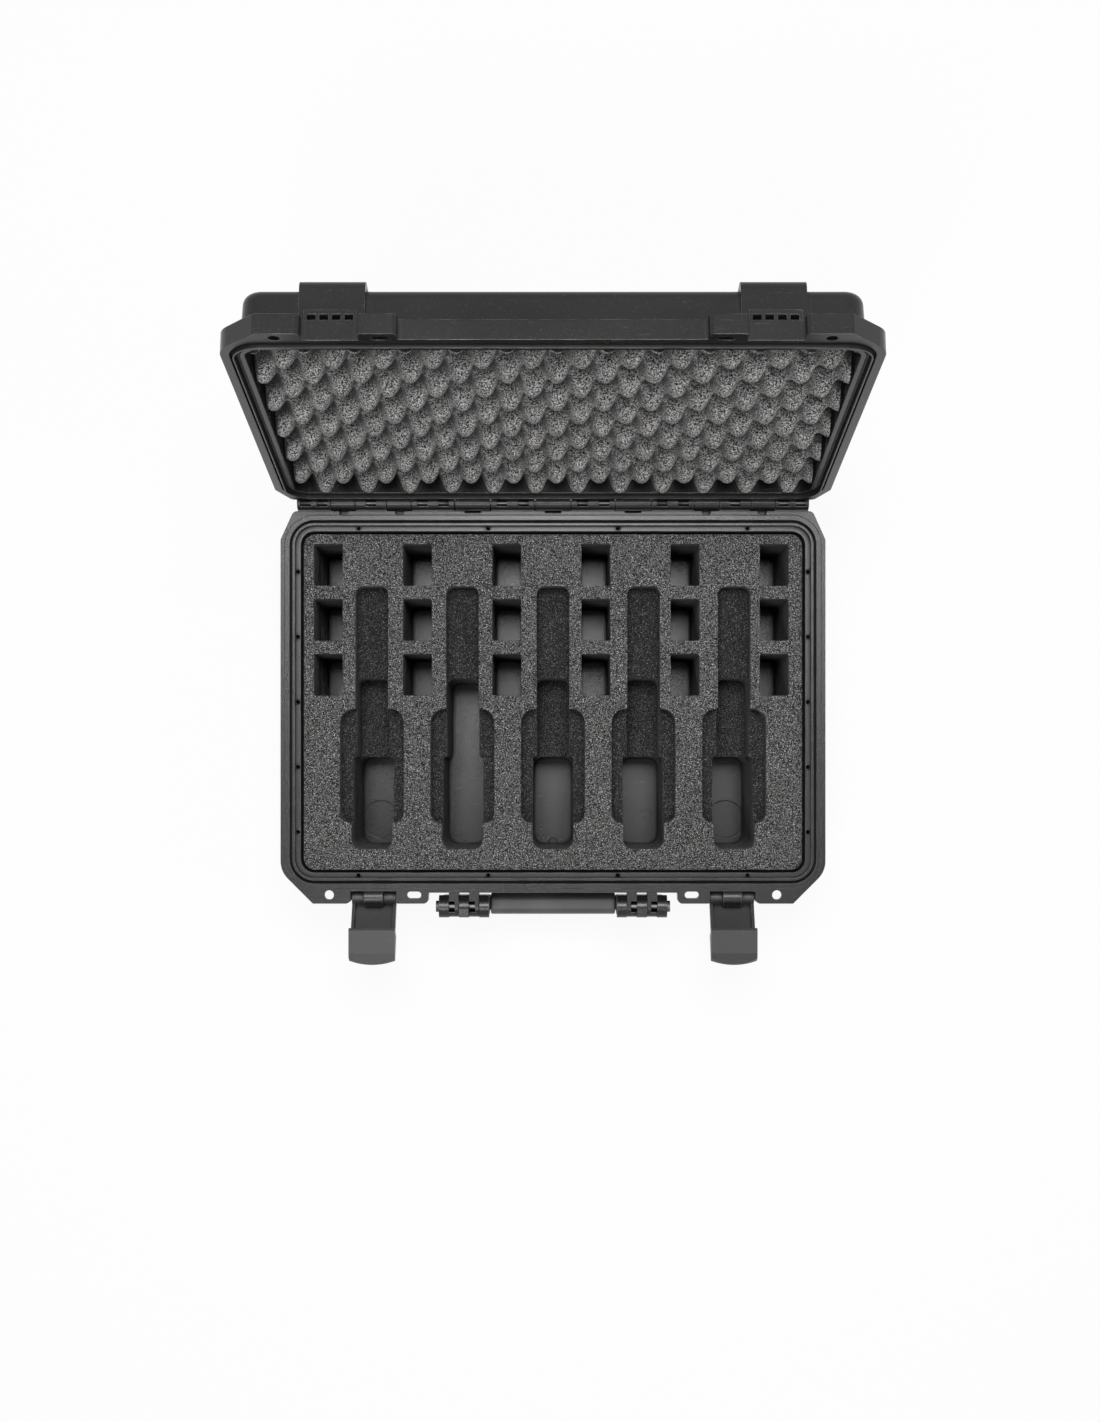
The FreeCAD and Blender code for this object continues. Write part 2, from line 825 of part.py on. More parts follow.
def make_handle_frame():
    ears, _ = stack_spans()
    inner = ears[-1][0]
    outer = handle_length / 2
    bottom = handle_z - handle_reach - grip_height / 2
    shoulder = handle_z - handle_shoulder
    half = handle_depth / 2
    solids = []
    for side in (-1, 1):
        corners = [
            (side * inner, shoulder, 0),
            (side * outer, shoulder, 0),
            (side * outer, bottom, handle_corner),
            (side * inner, bottom, 0),
        ]
        wire = rounded_outline(corners, in_elevation(handle_y - half))
        end = prism(wire, Vector(0, handle_depth, 0))
        end = end.makeFillet(handle_edge, [e for e in end.Edges if e.BoundBox.YLength < 1e-6])
        solids.append(end)
    for x0, x1 in mirrored_spans(ears):
        eye = rod_along_x(x0, x1, handle_y, handle_z, ear_radius)
        neck = block(x0, x1, handle_y - half, handle_y + half, shoulder - 2 * handle_edge, handle_z)
        solids.append(eye.fuse(neck))
    core = block(
        -inner - handle_edge,
        inner + handle_edge,
        handle_y - core_depth / 2,
        handle_y + core_depth / 2,
        handle_z - handle_reach - core_height / 2,
        handle_z - handle_reach + core_height / 2,
    )
    for x0, x1 in mirrored_spans(ears[1:-1]):
        heel = block(x0, x1, handle_y, front_y - stop_gap, handle_z, handle_z + handle_heel_height)
        solids.append(turned(heel, Vector(0, handle_y, handle_z), handle_swing))
    frame = core.multiFuse(solids)
    bore = rod_along_x(-outer, outer, handle_y, handle_z, handle_pin_radius + pin_clearance)
    return frame.cut(bore).removeSplitter()


def make_handle_grip():
    ears, _ = stack_spans()
    half = ears[-1][0] - ear_gap
    mid_z = handle_z - handle_reach
    corners = [
        (handle_y + sy * grip_depth / 2, mid_z + sz * grip_height / 2, grip_corner)
        for sy, sz in ((-1, -1), (1, -1), (1, 1), (-1, 1))
    ]
    sleeve = prism(rounded_outline(corners, in_section(-half)), Vector(2 * half, 0, 0))
    ends = [e for e in sleeve.Edges if e.BoundBox.XLength < 1e-6]
    sleeve = sleeve.makeFillet(grip_end_radius, ends)
    core = block(
        -half - overcut,
        half + overcut,
        handle_y - core_depth / 2,
        handle_y + core_depth / 2,
        mid_z - core_height / 2,
        mid_z + core_height / 2,
    )
    return sleeve.cut(core)


def make_handle_pin(side):
    ears, _ = stack_spans()
    inner = ears[-1][0]
    outer = handle_length / 2 + ear_gap
    shank = rod_along_x(inner, outer, handle_y, handle_z, handle_pin_radius)
    head = rod_along_x(outer, outer + pin_head_length, handle_y, handle_z, pin_head_radius)
    pin = shank.fuse(head).removeSplitter()
    if side < 0:
        pin = pin.mirror(Vector(), axis_x)
    return pin


def well_centres():
    xs = [well_shift_x + step for step in spread(well_column_count, well_pitch_x)]
    first_y = inside_depth / 2 - well_back_margin - well_length / 2
    ys = [first_y - index * well_pitch_y for index in range(well_row_count)]
    return [(x, y) for x in xs for y in ys]


def foam_sheet(low, high, cuts):
    # One sheet, cut to the tapering inside at its lower face, with its wells and the given bay outlines
    inset = (parting_z - low) * math.tan(math.radians(base_draft)) + foam_gap
    outline = rounded_rectangle(inside_width - 2 * inset, inside_depth - 2 * inset, inside_corner - inset, low)
    up = Vector(0, 0, high - low)
    half_w = well_width / 2
    half_l = well_length / 2
    tools = []
    for x, y in well_centres():
        tools.append(block(x - half_w, x + half_w, y - half_l, y + half_l, low, high))
    for index, x in enumerate(spread(bay_count, bay_pitch)):
        for width, front, length, radius, bays in cuts:
            if index in bays:
                y = bay_front_y + front + length / 2
                tools.append(prism(rounded_rectangle(width, length, radius, low, x, y), up))
    return prism(outline, up).cut(tools).removeSplitter()


def in_blocks(sheet):
    # The sheet divided on the bays' centre lines and across its middle, so that each block lies beside its pockets
    box = sheet.BoundBox
    lines = [box.XMin] + spread(bay_count, bay_pitch) + [box.XMax]
    blocks = []
    for x0, x1 in zip(lines, lines[1:]):
        for y0, y1 in ((box.YMin, 0), (0, box.YMax)):
            blocks += sheet.common(block(x0, x1, y0, y1, box.ZMin, box.ZMax)).Solids
    return Part.makeCompound(blocks)


all_bays = range(bay_count)
deep_end = (bay_end_width, 0, bay_end_length, bay_end_corner, all_bays)
step_start = bay_end_length - 2 * bay_end_corner
step_length = bay_step_length - step_start


def make_foam_top():
    channel = (bay_width, finger_step, bay_length - finger_step, bay_corner, all_bays)
    fingers = (finger_width, finger_step, finger_length, finger_corner, all_bays)
    return in_blocks(foam_sheet(foam_top_z - top_sheet, foam_top_z, [channel, fingers, deep_end]))


def make_foam_middle():
    step = (bay_width, step_start, step_length, bay_corner, all_bays)
    high = foam_top_z - top_sheet
    return in_blocks(foam_sheet(high - middle_sheet, high, [step, deep_end]))


def make_foam_bottom():
    step = (bay_width, step_start, step_length, bay_corner, [through_bay_index])
    high = foam_top_z - top_sheet - middle_sheet
    sheet = foam_sheet(floor_z, high, [step, deep_end])
    front = sheet.BoundBox.YMin
    relief = front_cylinder(foam_relief_radius, front - overcut, front + foam_relief_depth, valve_z)
    return in_blocks(sheet.cut(relief))


def make_valve_body():
    flange = front_cylinder(valve_flange_radius, valve_flange_y - valve_flange_thickness, valve_flange_y, valve_z)
    end = valve_spot_y + valve_nut_thickness + valve_thread_end
    barrel = front_cylinder(valve_barrel_radius, valve_flange_y, end, valve_z)
    outside = valve_flange_y - valve_flange_thickness
    bore = front_cylinder(valve_bore_radius, outside - overcut, end + overcut, valve_z)
    seat_radius = membrane_radius + valve_hole_clearance
    seat = front_cylinder(seat_radius, outside - overcut, outside + membrane_seat_depth, valve_z)
    return flange.fuse(barrel).cut([bore, seat]).removeSplitter()


def make_valve_seal():
    ring = front_cylinder(valve_seal_radius, valve_flange_y, valve_pad_y, valve_z)
    hole = valve_barrel_radius + valve_hole_clearance
    return ring.cut(front_cylinder(hole, valve_flange_y - overcut, valve_pad_y + overcut, valve_z))


def make_valve_membrane():
    inner = valve_flange_y - valve_flange_thickness + membrane_seat_depth
    return front_cylinder(membrane_radius, inner - membrane_thickness, inner, valve_z)


def make_valve_cap():
    inner = valve_flange_y - valve_flange_thickness
    cap = front_cylinder(valve_cap_radius, inner - valve_cap_thickness, inner, valve_z)
    outer_face = [e for e in cap.Edges if abs(e.BoundBox.YMax - (inner - valve_cap_thickness)) < 1e-6]
    cap = cap.makeFillet(valve_cap_edge, outer_face)
    vents = []
    for index in range(valve_vent_count):
        slot = block(
            -valve_vent_width / 2,
            valve_vent_width / 2,
            inner - valve_vent_depth,
            inner + overcut,
            valve_z,
            valve_z + 2 * valve_cap_radius,
        )
        slot.rotate(Vector(0, 0, valve_z), Vector(0, 1, 0), index * 360 / valve_vent_count)
        vents.append(slot)
    return cap.cut(vents)


def make_valve_nut():
    radius = valve_nut_width / math.sqrt(3)
    corners = []
    for index in range(6):
        angle = math.radians(60 * index)
        corners.append((radius * math.cos(angle), valve_z + radius * math.sin(angle), 0))
    nut = prism(rounded_outline(corners, in_elevation(valve_spot_y)), Vector(0, valve_nut_thickness, 0))
    hole = valve_barrel_radius + pin_clearance
    end = valve_spot_y + valve_nut_thickness + overcut
    return nut.cut(front_cylinder(hole, valve_spot_y - overcut, end, valve_z))


pieces = {
    "base_shell": make_base_shell(),
    "lid_shell": make_lid_shell(),
    "hinge_rod": rod_along_x(-hinge_length / 2, hinge_length / 2, hinge_y, parting_z, hinge_rod_radius),
    "lid_seal": make_lid_seal(),
    "lid_foam": make_lid_foam(),
    "latch_left": make_latch(-latch_x),
    "latch_right": make_latch(latch_x),
    "latch_pin_left": make_latch_pin(-latch_x),
    "latch_pin_right": make_latch_pin(latch_x),
    "handle_frame": make_handle_frame(),
    "handle_grip": make_handle_grip(),
    "handle_pin_left": make_handle_pin(-1),
    "handle_pin_right": make_handle_pin(1),
    "foam_top": make_foam_top(),
    "foam_middle": make_foam_middle(),
    "foam_bottom": make_foam_bottom(),
    "valve_body": make_valve_body(),
    "valve_seal": make_valve_seal(),
    "valve_membrane": make_valve_membrane(),
    "valve_cap": make_valve_cap(),
    "valve_nut": make_valve_nut(),
}

os.makedirs("parts", exist_ok=True)
for name, shape in pieces.items():
    shape.exportStep(os.path.join("parts", name + ".step"))
    box = shape.BoundBox
    print(f"{name}: solids {len(shape.Solids)} valid {shape.isValid()} volume {shape.Volume:.0f} "
          f"x {box.XMin:.1f} {box.XMax:.1f} y {box.YMin:.1f} {box.YMax:.1f} z {box.ZMin:.1f} {box.ZMax:.1f}")
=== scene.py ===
import json
import math

import bmesh
import bpy
from mathutils import Matrix, Vector, noise
from mathutils.geometry import delaunay_2d_cdt


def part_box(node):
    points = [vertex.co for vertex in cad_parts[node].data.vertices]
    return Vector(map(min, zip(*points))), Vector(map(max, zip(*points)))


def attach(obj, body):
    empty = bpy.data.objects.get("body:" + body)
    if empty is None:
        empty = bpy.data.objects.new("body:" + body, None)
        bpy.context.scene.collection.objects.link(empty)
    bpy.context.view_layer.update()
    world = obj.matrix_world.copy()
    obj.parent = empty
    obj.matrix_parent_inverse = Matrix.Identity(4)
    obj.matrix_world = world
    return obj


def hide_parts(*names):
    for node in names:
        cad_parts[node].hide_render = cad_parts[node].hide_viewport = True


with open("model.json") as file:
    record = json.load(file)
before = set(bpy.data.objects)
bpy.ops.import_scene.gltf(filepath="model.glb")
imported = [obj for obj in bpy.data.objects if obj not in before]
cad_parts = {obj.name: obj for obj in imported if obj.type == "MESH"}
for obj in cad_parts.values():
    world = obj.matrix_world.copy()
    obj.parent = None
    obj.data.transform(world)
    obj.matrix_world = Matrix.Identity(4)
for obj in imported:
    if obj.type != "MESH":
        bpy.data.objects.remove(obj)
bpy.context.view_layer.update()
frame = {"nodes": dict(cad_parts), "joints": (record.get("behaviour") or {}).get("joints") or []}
nodes = frame["nodes"]
print("frame loaded,", len(nodes), "nodes")


class Wire:
    # one shader socket that takes part in Python arithmetic

    def __init__(self, finish, socket):
        self.finish = finish
        self.socket = socket

    def calc(self, operation, first, second=0.0):
        return self.finish.add("ShaderNodeMath", {"operation": operation}, {0: first, 1: second})

    def __add__(self, other):
        return self.calc("ADD", self, other)

    def __radd__(self, other):
        return self.calc("ADD", other, self)

    def __sub__(self, other):
        return self.calc("SUBTRACT", self, other)

    def __rsub__(self, other):
        return self.calc("SUBTRACT", other, self)

    def __mul__(self, other):
        return self.calc("MULTIPLY", self, other)

    def __rmul__(self, other):
        return self.calc("MULTIPLY", other, self)

    def clamped(self, low, high):
        return self.calc("MINIMUM", self.calc("MAXIMUM", self, low), high)

    def ramp(self, start, end):
        # 0 below start, 1 above end, smooth between
        settings = {"interpolation_type": "SMOOTHSTEP"}
        return self.finish.add("ShaderNodeMapRange", settings, {0: self, 1: start, 2: end, 3: 0.0, 4: 1.0})


class Finish:
    # one material, or the world; add() makes every node in it

    def __init__(self, name, world=None):
        self.material = world or bpy.data.materials.new(name)
        self.material.use_nodes = True
        self.tree = self.material.node_tree
        self.shader = self.tree.nodes.get("Principled BSDF")
        self.place = self.add("ShaderNodeTexCoord", output="Object")

    def add(self, kind, settings=None, inputs=None, output=0):
        node = self.tree.nodes.new(kind)
        for key, value in (settings or {}).items():
            setattr(node, key, value)
        for key, value in (inputs or {}).items():
            self.feed(node.inputs[key], value)
        return Wire(self, node.outputs[output])

    def feed(self, socket, value):
        if isinstance(value, Wire):
            self.tree.links.new(value.socket, socket)
        else:
            socket.default_value = value

    def stretched(self, scale):
        return self.add("ShaderNodeMapping", {}, {"Vector": self.place, "Scale": scale})

    def cloud(self, scale, detail=2.0, roughness=0.5, place=None):
        inputs = {"Vector": place or self.place, "Scale": scale, "Detail": detail, "Roughness": roughness}
        return self.add("ShaderNodeTexNoise", {}, inputs)

    def cells(self, scale):
        return self.add("ShaderNodeTexVoronoi", {}, {"Vector": self.place, "Scale": scale}, "Distance")

    def blend(self, share, first, second):
        return self.add("ShaderNodeMix", {"data_type": "RGBA"}, {0: share, 6: first, 7: second}, 2)

    def edges(self, radius):
        # 1 along sharp edges, fading to 0 on flat faces; also gives the rounded normal
        rounded = self.add("ShaderNodeBevel", {"samples": 4}, {"Radius": radius})
        flat = self.add("ShaderNodeNewGeometry", output="Normal")
        along = self.add("ShaderNodeVectorMath", {"operation": "DOT_PRODUCT"}, {0: rounded, 1: flat}, "Value")
        return (1 - along).ramp(0.01, 0.22), rounded

    def occlusionShade(self, reach, shut=0.3, clear=0.85):
        # 1 deep in a gap or groove, 0 in the open, from ambient occlusion; it paints shade into colours
        openness = self.add("ShaderNodeAmbientOcclusion", {"samples": 8}, {"Distance": reach}, "AO")
        return 1 - openness.ramp(shut, clear)

    def bump(self, height, strength, distance, normal=None):
        inputs = {"Height": height, "Strength": strength, "Distance": distance}
        if normal:
            inputs["Normal"] = normal
        return self.add("ShaderNodeBump", {}, inputs)

    def seen(self):
        # 1 for what is seen directly, in a reflection or through glass, 0 for what only lights the object
        kinds = ("Is Camera Ray", "Is Glossy Ray", "Is Transmission Ray")
        rays = [self.add("ShaderNodeLightPath", output=kind) for kind in kinds]
        return (rays[0] + rays[1] + rays[2]).clamped(0.0, 1.0)

    def wear(self, **sockets):
        for name, value in sockets.items():
            self.feed(self.shader.inputs[name], value)
        return self.material


def grey(value, warm=0.0):
    return (value * (1 + warm), value, value * (1 - warm), 1.0)


def mouldedPlastic(name, look):
    # spark-eroded moulding: fine pebbled grain, faint flow patches, pale edges that are partly worn by rubbing and
    # partly painted highlight, a few scuffs, and painted shade in gaps and grooves
    finish = Finish(name)
    edge, rounded = finish.edges(look["edgeRadius"])
    patches = finish.cloud(look["patch"], 3.0)
    pebble = finish.cells(look["grain"]) * 0.6 + finish.cloud(look["grain"] * 1.7, 2.0) * 0.6
    scuff = finish.cloud(look["scuff"], 4.0, 0.7, finish.stretched(look["scuffStretch"])).ramp(0.62, 0.72)
    dust = finish.cloud(look["dust"], 2.0).ramp(0.58, 0.74)
    # pale edges: partly worn by rubbing, partly painted highlight standing in for gloss catching the light on
    # rounded edges
    rubbedAndHighlit = edge * finish.cloud(look["rubAndHighlightPatch"], 3.0).ramp(0.3, 0.62)
    gap = finish.occlusionShade(look["reach"])
    dark, light, pale = (grey(look[tone], look["warm"]) for tone in ("dark", "light", "rubbedAndHighlit"))
    colour = finish.blend(patches.ramp(0.3, 0.7), dark, light)
    colour = finish.blend(rubbedAndHighlit * look["edgeWearAndHighlight"], colour, pale)
    colour = finish.blend(scuff * look["scuffShare"] + dust * look["dustShare"], colour, pale)
    # painted shade: gaps and grooves darkened nearly to black where ambient occlusion finds them
    colour = finish.blend(gap * look["gapShadeShare"], colour, grey(look["gap"]))
    rough = look["rough"] + patches * 0.1 + scuff * 0.08 - edge * 0.1 + gap * 0.7
    normal = finish.bump(pebble, look["bump"], look["grainDepth"], rounded)
    return finish.wear(**{
        "Base Color": colour,
        "Roughness": rough,
        "Normal": normal,
        "Specular IOR Level": look["specular"],
    })


def softRubber(name, look):
    # moulded rubber: dull, slightly mottled, with a powdery bloom in the hollows of its grain
    finish = Finish(name)
    edge, rounded = finish.edges(look["edgeRadius"])
    grain = finish.cloud(look["grain"], 3.0, 0.6)
    bloom = finish.cloud(look["bloom"], 3.0).ramp(0.42, 0.7)
    colour = finish.blend(bloom * 0.5 + edge * 0.3, grey(look["dark"]), grey(look["light"]))
    return finish.wear(**{
        "Base Color": colour,
        "Roughness": look["rough"] + grain * 0.12,
        "Normal": finish.bump(grain, look["bump"], look["grainDepth"], rounded),
        "Sheen Weight": look["sheen"],
        "Sheen Roughness": look["sheenRough"],
    })


def drawnSteel(name, look):
    # drawn rod: lines along X, greyed by handling
    finish = Finish(name)
    lines = finish.cloud(look["line"], 2.0, 0.6, finish.stretched(look["lineStretch"]))
    stain = finish.cloud(look["stain"], 4.0, 0.65).ramp(0.45, 0.7)
    colour = finish.blend(stain, grey(look["bright"]), grey(look["dull"], 0.04))
    return finish.wear(**{
        "Base Color": colour,
        "Roughness": look["rough"] + lines * 0.12 + stain * 0.18,
        "Normal": finish.bump(lines, look["bump"], look["lineDepth"]),
        "Metallic": 1.0,
    })


def cellFoam(name, look):
    # charcoal open-cell foam: pale struts and flecks over dark pores, with painted shade on upright walls and in
    # hollows
    finish = Finish(name)
    pores = finish.cells(look["cell"])
    struts = finish.cloud(look["cell"], 2.0, 0.7)
    speck = finish.cloud(look["speck"], 1.0, 0.5)
    patches = finish.cloud(look["patch"], 3.0)
    pale = (struts * 0.6 + speck * 0.4).ramp(look["low"], look["high"])
    colour = finish.blend(pale, grey(look["pore"]), grey(look["strut"], look["warm"]))
    colour = finish.blend(patches.ramp(0.35, 0.7) * look["patchShare"], colour, grey(look["pore"]))
    fleck = finish.cloud(look["speck"] * 1.25, 1.0, 0.5).ramp(0.6, 0.7)
    colour = finish.blend(fleck * look["fleckShare"], colour, grey(look["fleck"]))
    # painted shade: upright walls darkened as if the pockets kept them out of the light
    if look["wall"]:
        facing = finish.add("ShaderNodeNewGeometry", output="True Normal")
        upright = finish.add("ShaderNodeSeparateXYZ", {}, {"Vector": facing}, "Z")
        wall = 1 - (upright * upright).ramp(0.1, 0.6)
        colour = finish.blend(wall * look["wall"], colour, grey(look["wallShade"]))
    # painted shade: pits and hollows darkened towards the pore grey where ambient occlusion finds them
    paintedPitShade = finish.occlusionShade(look["pitReach"], look["pitShut"], look["pitClear"])
    colour = finish.blend(paintedPitShade * look["paintedPitShade"], colour, grey(look["pore"]))
    height = pale * 0.7 - pores * 0.5
    return finish.wear(**{
        "Base Color": colour,
        "Roughness": look["rough"] + pale * 0.08,
        "Normal": finish.bump(height, look["bump"], look["cellDepth"]),
        "Specular IOR Level": look["specular"],
        "Sheen Weight": look["sheen"],
        "Sheen Roughness": look["sheenRough"],
    })


def breathingFilm(name, look):
    # pale porous membrane
    finish = Finish(name)
    pores = finish.cloud(look["pore"], 2.0, 0.7)
    return finish.wear(**{
        "Base Color": finish.blend(pores, grey(look["dark"]), grey(look["light"])),
        "Roughness": look["rough"] + pores * 0.2,
        "Normal": finish.bump(pores, look["bump"], look["poreDepth"]),
    })


# greys are linear, lengths are in metres, grain and patch scales are per metre
shellLook = {
    # the pale edge grey and its share paint both rubbing wear and painted highlights along the edges
    "dark": 0.007, "light": 0.012, "rubbedAndHighlit": 0.26, "edgeWearAndHighlight": 0.85, "edgeRadius": 0.0008,
    # the near-black grey and its share here paint shade into gaps and grooves
    "reach": 0.006, "gap": 0.001, "gapShadeShare": 0.95, "grain": 1250.0, "grainDepth": 0.0004, "bump": 0.2,
    "rough": 0.2, "specular": 0.33, "warm": 0.04, "patch": 9.0, "rubAndHighlightPatch": 60.0, "dust": 420.0, "dustShare": 0.04,
    "scuff": 38.0, "scuffStretch": (1.0, 7.0, 3.0), "scuffShare": 0.05,
}
latchLook = dict(shellLook, dark=0.022, light=0.034, rough=0.32, rubbedAndHighlit=0.24, grain=1500.0, warm=0.0)
valveLook = dict(shellLook, dark=0.02, light=0.026, rough=0.5, grain=1800.0)
gripLook = {
    "dark": 0.045, "light": 0.08, "rough": 0.42, "grain": 1300.0, "grainDepth": 0.0003, "bump": 0.35,
    "edgeRadius": 0.0006, "bloom": 24.0, "sheen": 0.15, "sheenRough": 0.5,
}
sealLook = dict(gripLook, dark=0.01, light=0.018, rough=0.55, grain=1600.0, edgeRadius=0.0003)
steelLook = {
    "bright": 0.11, "dull": 0.05, "rough": 0.38, "line": 900.0, "lineStretch": (0.02, 1.0, 1.0),
    "lineDepth": 0.0002, "bump": 0.2, "stain": 45.0,
}
filmLook = {"dark": 0.55, "light": 0.72, "rough": 0.7, "pore": 1500.0, "poreDepth": 0.0002, "bump": 0.3}
foamLook = {
    "pore": 0.008, "strut": 0.145, "fleck": 0.9, "fleckShare": 0.65, "warm": 0.02,
    "cell": 820.0, "cellDepth": 0.0008, "speck": 1000.0, "low": 0.45, "high": 0.59, "bump": 0.8,
    # the share and grey for upright walls paint shade onto pocket walls
    "patch": 14.0, "patchShare": 0.15, "wall": 0.8, "wallShade": 0.012,
    # these settings paint shade into pits and hollows
    "paintedPitShade": 0.5, "pitReach": 0.02, "pitShut": 0.3, "pitClear": 0.85,
    "rough": 0.9, "specular": 0.15, "sheen": 0.12, "sheenRough": 0.6,
}
# the middle and bottom sheets are the same foam with much darker greys: painted shade for the recessed floors, in
# the middle sheet partly its own darker cut face too
middleLook = dict(foamLook, pore=0.004, strut=0.034, fleck=0.3)
bottomLook = dict(foamLook, pore=0.004, strut=0.042, fleck=0.3)
# the lid sheet is the same charcoal foam with far paler greys: painted light for the upright lid, and its pits
# darkened hard as painted shade
lidFoamLook = dict(
    foamLook, wall=0.0, strut=0.66, pore=0.016, fleck=0.95, fleckShare=0.8,
    paintedPitShade=0.98, pitReach=0.022, pitShut=0.36, pitClear=0.8,
)

shellPlastic = mouldedPlastic("shellPlastic", shellLook)
latchPlastic = mouldedPlastic("latchPlastic", latchLook)
valvePlastic = mouldedPlastic("valvePlastic", valveLook)
gripRubber = softRubber("gripRubber", gripLook)
sealRubber = softRubber("sealRubber", sealLook)
rodSteel = drawnSteel("rodSteel", steelLook)
charcoalFoam = cellFoam("charcoalFoam", foamLook)
middleFoamDarkAndShaded = cellFoam("middleFoamDarkAndShaded", middleLook)
bottomFoamShaded = cellFoam("bottomFoamShaded", bottomLook)
paleLitCrateFoam = cellFoam("paleLitCrateFoam", lidFoamLook)
membraneFilm = breathingFilm("membraneFilm", filmLook)

nodeFinish = {
    "base_shell": shellPlastic,
    "lid_shell": shellPlastic,
    "handle_frame": shellPlastic,
    "handle_grip": gripRubber,
    "latch_left": latchPlastic,
    "latch_right": latchPlastic,
    "hinge_rod": rodSteel,
    "latch_pin_left": rodSteel,
    "latch_pin_right": rodSteel,
    "handle_pin_left": rodSteel,
    "handle_pin_right": rodSteel,
    "valve_body": valvePlastic,
    "valve_cap": valvePlastic,
    "valve_nut": valvePlastic,
    "valve_seal": sealRubber,
    "valve_membrane": membraneFilm,
}
for nodeName, material in nodeFinish.items():
    mesh = nodes[nodeName].data
    mesh.materials.clear()
    mesh.materials.append(material)
print("finishes made:", len(bpy.data.materials))


def newPiece(name, mesh, material, body):
    piece = bpy.data.objects.new(name, mesh)
    bpy.context.scene.collection.objects.link(piece)
    mesh.materials.append(material)
    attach(piece, body)
    return piece


def closedMesh(bm, name, sharpAngle=None, place=None):
    # mesh from a finished bmesh, smooth but for edges above sharpAngle, moved by place
    bmesh.ops.recalc_face_normals(bm, faces=bm.faces)
    if place:
        bmesh.ops.transform(bm, matrix=place, verts=bm.verts)
    mesh = bpy.data.meshes.new(name)
    bm.to_mesh(mesh)
    bm.free()
    if sharpAngle:
        mesh.shade_smooth()
        mesh.set_sharp_from_angle(angle=math.radians(sharpAngle))
    return mesh


def skinRing(bm, rings):
    # closed skin over sections that follow each other round a ring
    for i, ring in enumerate(rings):
        after = rings[(i + 1) % len(rings)]
        for k in range(len(ring)):
            m = (k + 1) % len(ring)
            bm.faces.new((ring[k], after[k], after[m], ring[m]))


def roundedLoop(corners, spacing):
    # points along a closed outline of (x, y, radius) corners, an even distance apart
    count = len(corners)
    loop = []
    for index in range(count):
        here = Vector(corners[index][:2])
        radius = corners[index][2]
        back = (Vector(corners[index - 1][:2]) - here).normalized()
        ahead = (Vector(corners[(index + 1) % count][:2]) - here).normalized()
        half = back.angle(ahead) / 2
        trim = radius / math.tan(half)
        centre = here + (back + ahead).normalized() * (radius / math.sin(half))
        start = here + back * trim - centre
        sweep = start.angle_signed(here + ahead * trim - centre)
        steps = max(3, round(abs(sweep) * radius / spacing * 1.5))
        for step in range(steps + 1):
            turn = Matrix.Rotation(-sweep * step / steps, 2)
            loop.append(centre + turn @ start)
    filled = []
    for index, point in enumerate(loop):
        gap = loop[(index + 1) % len(loop)] - point
        parts = max(1, round(gap.length / spacing))
        filled += [point + gap * part / parts for part in range(parts)]
    return filled


def rectangle(x0, x1, y0, y1, radius):
    return [(x0, y0, radius), (x1, y0, radius), (x1, y1, radius), (x0, y1, radius)]


def isInside(point, loop):
    inside = False
    for index, a in enumerate(loop):
        b = loop[index - 1]
        if (a.y > point.y) != (b.y > point.y):
            if point.x < (b.x - a.x) * (point.y - a.y) / (b.y - a.y) + a.x:
                inside = not inside
    return inside


def inwardSides(loop):
    # unit vectors to the left of the walk along a loop
    sides = []
    for index in range(len(loop)):
        along = (loop[(index + 1) % len(loop)] - loop[index - 1]).normalized()
        sides.append(Vector((-along.y, along.x)))
    return sides


def signedArea(loop):
    return sum(loop[i - 1].cross(loop[i]) for i in range(len(loop))) / 2


def ripple(point, look, seed):
    return look["ripple"] * noise.noise(Vector(point) * look["rippleScale"] + Vector((seed, 0, 0)))


def capSheet(bm, rings, height, look, gridStep):
    # flat face between the rings, filled with a grid of points where gridStep is given
    points = []
    edges = []
    verts = []
    for ring in rings:
        first = len(points)
        points += [Vector(v.co[:2]) for v in ring]
        verts += ring
        edges += [(first + i, first + (i + 1) % len(ring)) for i in range(len(ring))]
    borders = [[Vector(v.co[:2]) for v in ring] for ring in rings]
    boxes = []
    for border in borders:
        xs = [p.x for p in border]
        ys = [p.y for p in border]
        boxes.append((min(xs), max(xs), min(ys), max(ys)))

    def onSheet(point, margin):
        x0, x1, y0, y1 = boxes[0]
        if not (x0 + margin < point.x < x1 - margin and y0 + margin < point.y < y1 - margin):
            return False
        if not isInside(point, borders[0]):
            return False
        for border, (x0, x1, y0, y1) in zip(borders[1:], boxes[1:]):
            if x0 - margin < point.x < x1 + margin and y0 - margin < point.y < y1 + margin:
                if isInside(point, border):
                    return False
                if margin and min((p - point).length for p in border) < margin:
                    return False
        return True

    if gridStep:
        x0, x1, y0, y1 = boxes[0]
        for row in range(int((y1 - y0) / gridStep)):
            for column in range(int((x1 - x0) / gridStep)):
                shift = 0.5 if row % 2 else 0.0
                point = Vector((x0 + (column + shift + 0.5) * gridStep, y0 + (row + 0.5) * gridStep))
                if onSheet(point, gridStep * 0.6):
                    points.append(point)
                    z = height + ripple((*point, height), look, 3.0)
                    verts.append(bm.verts.new((*point, z)))
    placed, _, triangles, origins, _, _ = delaunay_2d_cdt(points, edges, [], 0, 1e-7)
    for triangle in triangles:
        middle = sum((placed[i] for i in triangle), Vector((0, 0))) / 3
        if onSheet(middle, 0.0):
            bm.faces.new([verts[origins[i][0]] for i in triangle])


